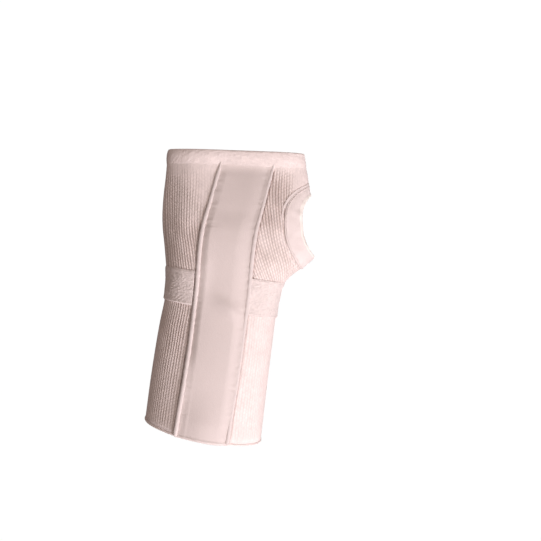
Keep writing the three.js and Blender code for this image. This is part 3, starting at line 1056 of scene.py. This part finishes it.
def stay_crown(base, aside):
    """Rise of the pocket's cloth over the stay, falling away to both seams."""
    over_stay = smoothstep(base, STAY_BOTTOM - 6 * MM, STAY_BOTTOM + 4 * MM)
    over_stay = over_stay * (1 - smoothstep(base, STAY_TOP - 6 * MM, STAY_TOP + 10 * MM))
    over_stay = over_stay * (1 - change("stay sinks", base))
    dish = 0.35 * np.minimum(1, np.abs(aside) / STAY_HALF) ** 2
    little_hold = 1 - 0.55 * change("pocket slackens", base)
    little_fall = little_hold * smoothstep(-aside, STAY_HALF, POCKET_HALF)
    thumb_start = (4 + change("stay moves over", base)) * MM
    thumb_fall = smoothstep(aside, thumb_start, POCKET_HALF - 1.5 * MM)
    return (1 - little_fall) * (1 - thumb_fall) * (0.3 + over_stay + dish) * MM


def pocket_forms(base, aside):
    """Hills and hollows of the pocket's cloth."""
    total = 0
    for place, height, along, across, turn, rise in POCKET_FORMS:
        right = aside / MM - place
        up = base / MM - height
        lean = math.radians(turn)
        lengthwise = (right * math.cos(lean) + up * math.sin(lean)) / along
        crosswise = (up * math.cos(lean) - right * math.sin(lean)) / across
        total = total + rise * MM * np.exp(-lengthwise ** 2 - crosswise ** 2)
    return total


def pocket_lift(base, aside):
    """Height of the pocket's cloth off the sleeve."""
    part = np.abs(aside) / POCKET_HALF
    edge = 0.5 * MM
    little_flush = 0.3 * change("pocket slackens", base)
    thumb_flush = 0.45 - change("thumb edge sinks", base)
    flush = MM * np.where(aside < 0, little_flush, thumb_flush) * smoothstep(part, 0.78, 0.98)
    little_rise = seam_rise(base) * smoothstep(-aside, 9.5 * MM, POCKET_HALF + 1 * MM)
    near_seam = smoothstep(part, 0.55, 0.95) * (1 - smoothstep(part, 0.95, 1.0))
    pucker = 0.12 * MM * near_seam * lumps(0.3 * aside, base, 4 * MM, seed=21)
    forms = pocket_forms(base, aside) * (1 - smoothstep(part, 0.65, 1.0))
    turned_hem = 0.7 * MM * bell(base, FOREARM_EDGE + 0.8 * MM, 0.8 * MM)
    tucked = 1 - 0.55 * smoothstep(base, SLEEVE_TOP - 9 * MM, SLEEVE_TOP)
    return (edge + stay_crown(base, aside) + flush + little_rise + forms + pucker) * tucked + turned_hem


def make_pocket(sizes):
    row_count = 300
    columns = 73
    rows = np.linspace(FOREARM_EDGE, SLEEVE_TOP + SLEEVE_TUCK, row_count)[:, None]
    aside = np.linspace(-POCKET_HALF, POCKET_HALF, columns)[None, :]
    angles, heights = pocket_place(*np.broadcast_arrays(rows, aside))
    points = off_skin(angles, heights, pocket_lift(rows, aside))
    uv = (rows / MM, aside / MM)
    pocket = grid_object("splint_pocket_cloth", points, uv)
    add_thickness(pocket, sizes.pocket_thickness)
    bake_modifiers(pocket)
    return pocket


def piping_lift(rows, side):
    """Height of a rolled seam's middle off the sleeve, on the little-finger or the thumb side."""
    if side < 0:
        lift = PIPING_LIFT + MM * change("little piping lifts", rows) + 1.1 * seam_rise(rows)
    else:
        shown = change("thumb piping comes out", rows) + change("thumb piping meets hem", rows)
        lift = MM * (shown - 0.6)
    return lift - 0.2 * MM * change("piping flattens", rows)


def make_piping(name, side, sizes):
    """Rolled seam along one edge of the pocket, thinning as it goes under the finger hem."""
    rings = 320
    sides = 18
    rows = np.linspace(FOREARM_EDGE, SLEEVE_TOP + SLEEVE_TUCK, rings)
    angles, heights = pocket_place(rows, side * POCKET_HALF)
    sunk = smoothstep(rows, SLEEVE_TOP - 7 * MM, SLEEVE_TOP + 1 * MM)
    thinning = (1 - 0.15 * change("piping flattens", rows)) * (1 - 0.5 * sunk)
    uneven = lumps(rows, 0 * rows, 5 * MM, sizes.lump_seed + 9 + side)
    radius = sizes.piping_radius * thinning * (1 + 0.05 * uneven)
    centre = off_skin(angles, heights, piping_lift(rows, side) * (1 - 0.75 * sunk))
    normal = skin_normal(angles, heights)
    along = np.gradient(centre, axis=0)
    sideways = np.cross(along, normal)
    sideways = sideways / np.linalg.norm(sideways, axis=1, keepdims=True)
    end_inset = np.minimum(np.arange(rings), np.arange(rings)[::-1])
    radius = radius * np.sqrt(np.clip(end_inset / 2, 0, 1))
    turn = np.linspace(0, FULL_TURN, sides + 1)
    aside = PIPING_WIDENING * np.cos(turn)[None, :, None] * sideways[:, None]
    ring = aside + np.sin(turn)[None, :, None] * normal[:, None]
    points = centre[:, None] + radius[:, None, None] * ring
    girth = turn * sizes.piping_radius / MM
    uv = (rows[:, None] / MM, girth[None, :])
    return grid_object(name, points, uv, closed=True)


def make_stitches(name, points, outwards, sizes, material, closed=True):
    """Row of stitches along points that may close on themselves."""
    mesh = bpy.data.meshes.new(name)
    count = len(points)
    edges = [(k, (k + 1) % count) for k in range(count if closed else count - 1)]
    mesh.from_pydata(points.tolist(), edges, [])
    data = mesh.attributes.new("out", "FLOAT_VECTOR", "POINT").data
    data.foreach_set("vector", outwards.ravel())
    row = new_object(name, mesh)
    add_nodes(row, stitch_row_tree(), pitch=sizes.stitch_pitch, thickness=sizes.stitch_thickness,
              material=material)
    bake_modifiers(row)
    return row


class PieceOperator:
    """What the operators of the pieces share."""

    bl_options = {"REGISTER", "UNDO"}

    @staticmethod
    def settings(context):
        return context.scene.wrist_brace_sizes, context.scene.wrist_brace_colours


class WRISTBRACE_OT_sleeve(PieceOperator, bpy.types.Operator):
    """Make the ribbed knit sleeve with its thumb hole"""

    bl_idname = "wrist_brace.sleeve"
    bl_label = "Ribbed Sleeve"

    def execute(self, context):
        sizes, colours = self.settings(context)
        material = rib_knit_material(colours)
        sleeve = make_sleeve(sizes, material)
        dress(sleeve, material, "sleeve")
        return {"FINISHED"}


class WRISTBRACE_OT_hems(PieceOperator, bpy.types.Operator):
    """Make the folded hems at the finger and forearm ends"""

    bl_idname = "wrist_brace.hems"
    bl_label = "Hems"

    def execute(self, context):
        sizes, colours = self.settings(context)
        material = hem_knit_material(colours)
        finger, girth = make_hem(
            "finger_hem_cloth", FINGER_HEM_PROFILE, SLEEVE_TOP, FINGER_EDGE,
            pocket_rise=0.4 * MM, seed=sizes.lump_seed)
        dress(finger, material, "finger_hem")
        forearm, girth = make_hem(
            "forearm_hem_cloth", FOREARM_HEM_PROFILE, FOREARM_EDGE, SLEEVE_BOTTOM,
            pocket_rise=0, seed=sizes.lump_seed + 2)
        dress(forearm, material, "forearm_hem")
        return {"FINISHED"}


class WRISTBRACE_OT_wrist_band(PieceOperator, bpy.types.Operator):
    """Make the woven elastic band round the wrist"""

    bl_idname = "wrist_brace.wrist_band"
    bl_label = "Wrist Band"

    def execute(self, context):
        sizes, colours = self.settings(context)
        material = woven_elastic_material(colours)
        band, girth = make_band(sizes, material)
        dress(band, material, "wrist_band")
        return {"FINISHED"}


class WRISTBRACE_OT_thumb_binding(PieceOperator, bpy.types.Operator):
    """Make the binding round the thumb hole, with its rolled free rim"""

    bl_idname = "wrist_brace.thumb_binding"
    bl_label = "Thumb Binding"

    def execute(self, context):
        sizes, colours = self.settings(context)
        material = binding_material(colours)
        binding, girth = make_binding(sizes)
        dress(binding, material, "thumb_binding")
        return {"FINISHED"}


class WRISTBRACE_OT_splint_pocket(PieceOperator, bpy.types.Operator):
    """Make the smooth pocket down the palm side and the piped seams beside it"""

    bl_idname = "wrist_brace.splint_pocket"
    bl_label = "Splint Pocket"

    def execute(self, context):
        sizes, colours = self.settings(context)
        # The pocket's colour turns to the hem's towards the finger end, and along its turned lower edge
        # to the paler thread colour as a painted highlight.
        ends = ((79, 87, colours.hem), (-96.2, -97.0, colours.thread))
        cloth = smooth_cloth_material("pocket_cloth", colours.pocket, wale=0.7, mottling=0.03, ends=ends)
        pocket = make_pocket(sizes)
        dress(pocket, cloth, "splint_pocket")
        piping = smooth_cloth_material("piping_cloth", colours.piping, wale=0.6, mottling=0.05)
        for name, side in (("piping_ulnar", -1), ("piping_radial", 1)):
            seam = make_piping(name, side, sizes)
            dress(seam, piping, f"pocket_{name}")
        return {"FINISHED"}


class WRISTBRACE_OT_stitching(PieceOperator, bpy.types.Operator):
    """Sew the thumb binding and the wrist band down with rows of thread"""

    bl_idname = "wrist_brace.stitching"
    bl_label = "Stitching"

    def execute(self, context):
        sizes, colours = self.settings(context)
        material = thread_material(colours)
        from_seam = 0.09
        sunk = 0.3 * MM
        turn = np.linspace(0, FULL_TURN, 240, endpoint=False)
        angles, heights = binding_place(turn, from_seam)
        points = off_skin(angles, heights, (0.75 - 0.45 * towards_fingers(turn)) * MM)
        seam = make_stitches("binding_stitches", points, skin_normal(angles, heights), sizes, material)
        dress(seam, material)
        row = BAND_HALF - STITCH_INSET
        for name, height in (("band_stitches_lower", -row), ("band_stitches_upper", row)):
            angles, heights = band_place(np.full((1, 200), height))
            points = off_skin(angles, heights, BAND_LIFT + sizes.band_thickness - sunk)
            outwards = skin_normal(angles, heights)
            seam = make_stitches(name, points[0], outwards[0], sizes, material, closed=False)
            dress(seam, material)
        return {"FINISHED"}


class WRISTBRACE_OT_studio(bpy.types.Operator):
    """Set up the pale studio, its soft lights and the camera"""

    bl_idname = "wrist_brace.studio"
    bl_label = "Studio"

    def execute(self, context):
        lights = context.scene.wrist_brace_lights
        make_backdrop()
        for name, power in (("key", lights.key_power), ("fill", lights.fill_power)):
            add_light(name, power, *LIGHTS[name])
        world = bpy.data.worlds.new("studio")
        world.use_nodes = True
        background = world.node_tree.nodes["Background"]
        background.inputs["Color"].default_value = (*AMBIENT_COLOUR, 1)
        background.inputs["Strength"].default_value = lights.ambient
        context.scene.world = world
        context.scene.view_settings.view_transform = "Standard"
        make_camera()
        return {"FINISHED"}


def make_backdrop():
    """White room round the brace, with a flat pale floor; it lights nothing by itself."""
    radius = 4.0
    floor = -1.2
    mesh = bpy.data.meshes.new("studio_room")
    shell = bmesh.new()
    bmesh.ops.create_uvsphere(shell, u_segments=48, v_segments=24, radius=radius)
    for vert in shell.verts:
        vert.co.z = max(vert.co.z, floor)
    bmesh.ops.reverse_faces(shell, faces=shell.faces)
    shell.to_mesh(mesh)
    shell.free()
    mesh.shade_smooth()
    room = new_object("studio_room", mesh)
    material = bpy.data.materials.new("studio_white")
    material.use_nodes = True
    shader = material.node_tree.nodes["Principled BSDF"]
    shader.inputs["Base Color"].default_value = (0, 0, 0, 1)
    shader.inputs["Emission Color"].default_value = (1, 1, 1, 1)
    shader.inputs["Emission Strength"].default_value = 1.0
    mesh.materials.append(material)
    room.visible_diffuse = False
    room.visible_glossy = False
    room.visible_shadow = False


def add_light(name, power, place, size, colour):
    data = bpy.data.lights.new(name, "AREA")
    data.shape = "DISK"
    data.size = size
    data.energy = power
    data.color = colour
    light = new_object(name, data)
    light.location = place
    light.rotation_euler = (-Vector(place)).to_track_quat("-Z", "Y").to_euler()


def make_camera():
    """Camera half a metre before the palm side, leaning a little to one side."""
    eye = Vector((0, -500, 59)) * MM
    aim = Vector((30.3, 0, 18.8)) * MM
    roll = math.radians(8.5)
    view_width = 373.3 * MM
    data = bpy.data.cameras.new("camera")
    data.sensor_width = 36
    data.lens = data.sensor_width * (aim - eye).length / view_width
    camera = new_object("camera", data)
    look = (aim - eye).to_track_quat("-Z", "Y").to_matrix().to_4x4()
    camera.matrix_world = Matrix.Translation(eye) @ look @ Matrix.Rotation(roll, 4, "Z")
    bpy.context.scene.camera = camera


OPERATORS = (
    WRISTBRACE_OT_sleeve,
    WRISTBRACE_OT_hems,
    WRISTBRACE_OT_wrist_band,
    WRISTBRACE_OT_thumb_binding,
    WRISTBRACE_OT_splint_pocket,
    WRISTBRACE_OT_stitching,
    WRISTBRACE_OT_studio,
)


class VIEW3D_PT_wrist_brace(bpy.types.Panel):
    """Lists the brace's pieces and the sizes and colours that they use"""

    bl_label = "Wrist Brace"
    bl_idname = "VIEW3D_PT_wrist_brace"
    bl_space_type = "VIEW_3D"
    bl_region_type = "UI"
    bl_category = "Wrist Brace"

    def draw(self, context):
        layout = self.layout
        for operator in OPERATORS:
            layout.operator(operator.bl_idname)
        scene = context.scene
        for group in (scene.wrist_brace_sizes, scene.wrist_brace_colours, scene.wrist_brace_lights):
            box = layout.box()
            for name in group.__annotations__:
                box.prop(group, name)


CLASSES = (BraceSizes, BraceColours, StudioLights, *OPERATORS, VIEW3D_PT_wrist_brace)


def register():
    for kind in CLASSES:
        bpy.utils.register_class(kind)
    bpy.types.Scene.wrist_brace_sizes = PointerProperty(type=BraceSizes)
    bpy.types.Scene.wrist_brace_colours = PointerProperty(type=BraceColours)
    bpy.types.Scene.wrist_brace_lights = PointerProperty(type=StudioLights)


def unregister():
    del bpy.types.Scene.wrist_brace_lights
    del bpy.types.Scene.wrist_brace_colours
    del bpy.types.Scene.wrist_brace_sizes
    for kind in reversed(CLASSES):
        bpy.utils.unregister_class(kind)


def main():
    register()
    bpy.ops.wrist_brace.sleeve()
    bpy.ops.wrist_brace.hems()
    bpy.ops.wrist_brace.wrist_band()
    bpy.ops.wrist_brace.thumb_binding()
    bpy.ops.wrist_brace.splint_pocket()
    bpy.ops.wrist_brace.stitching()
    bpy.ops.wrist_brace.studio()


if __name__ == "__main__":
    main()
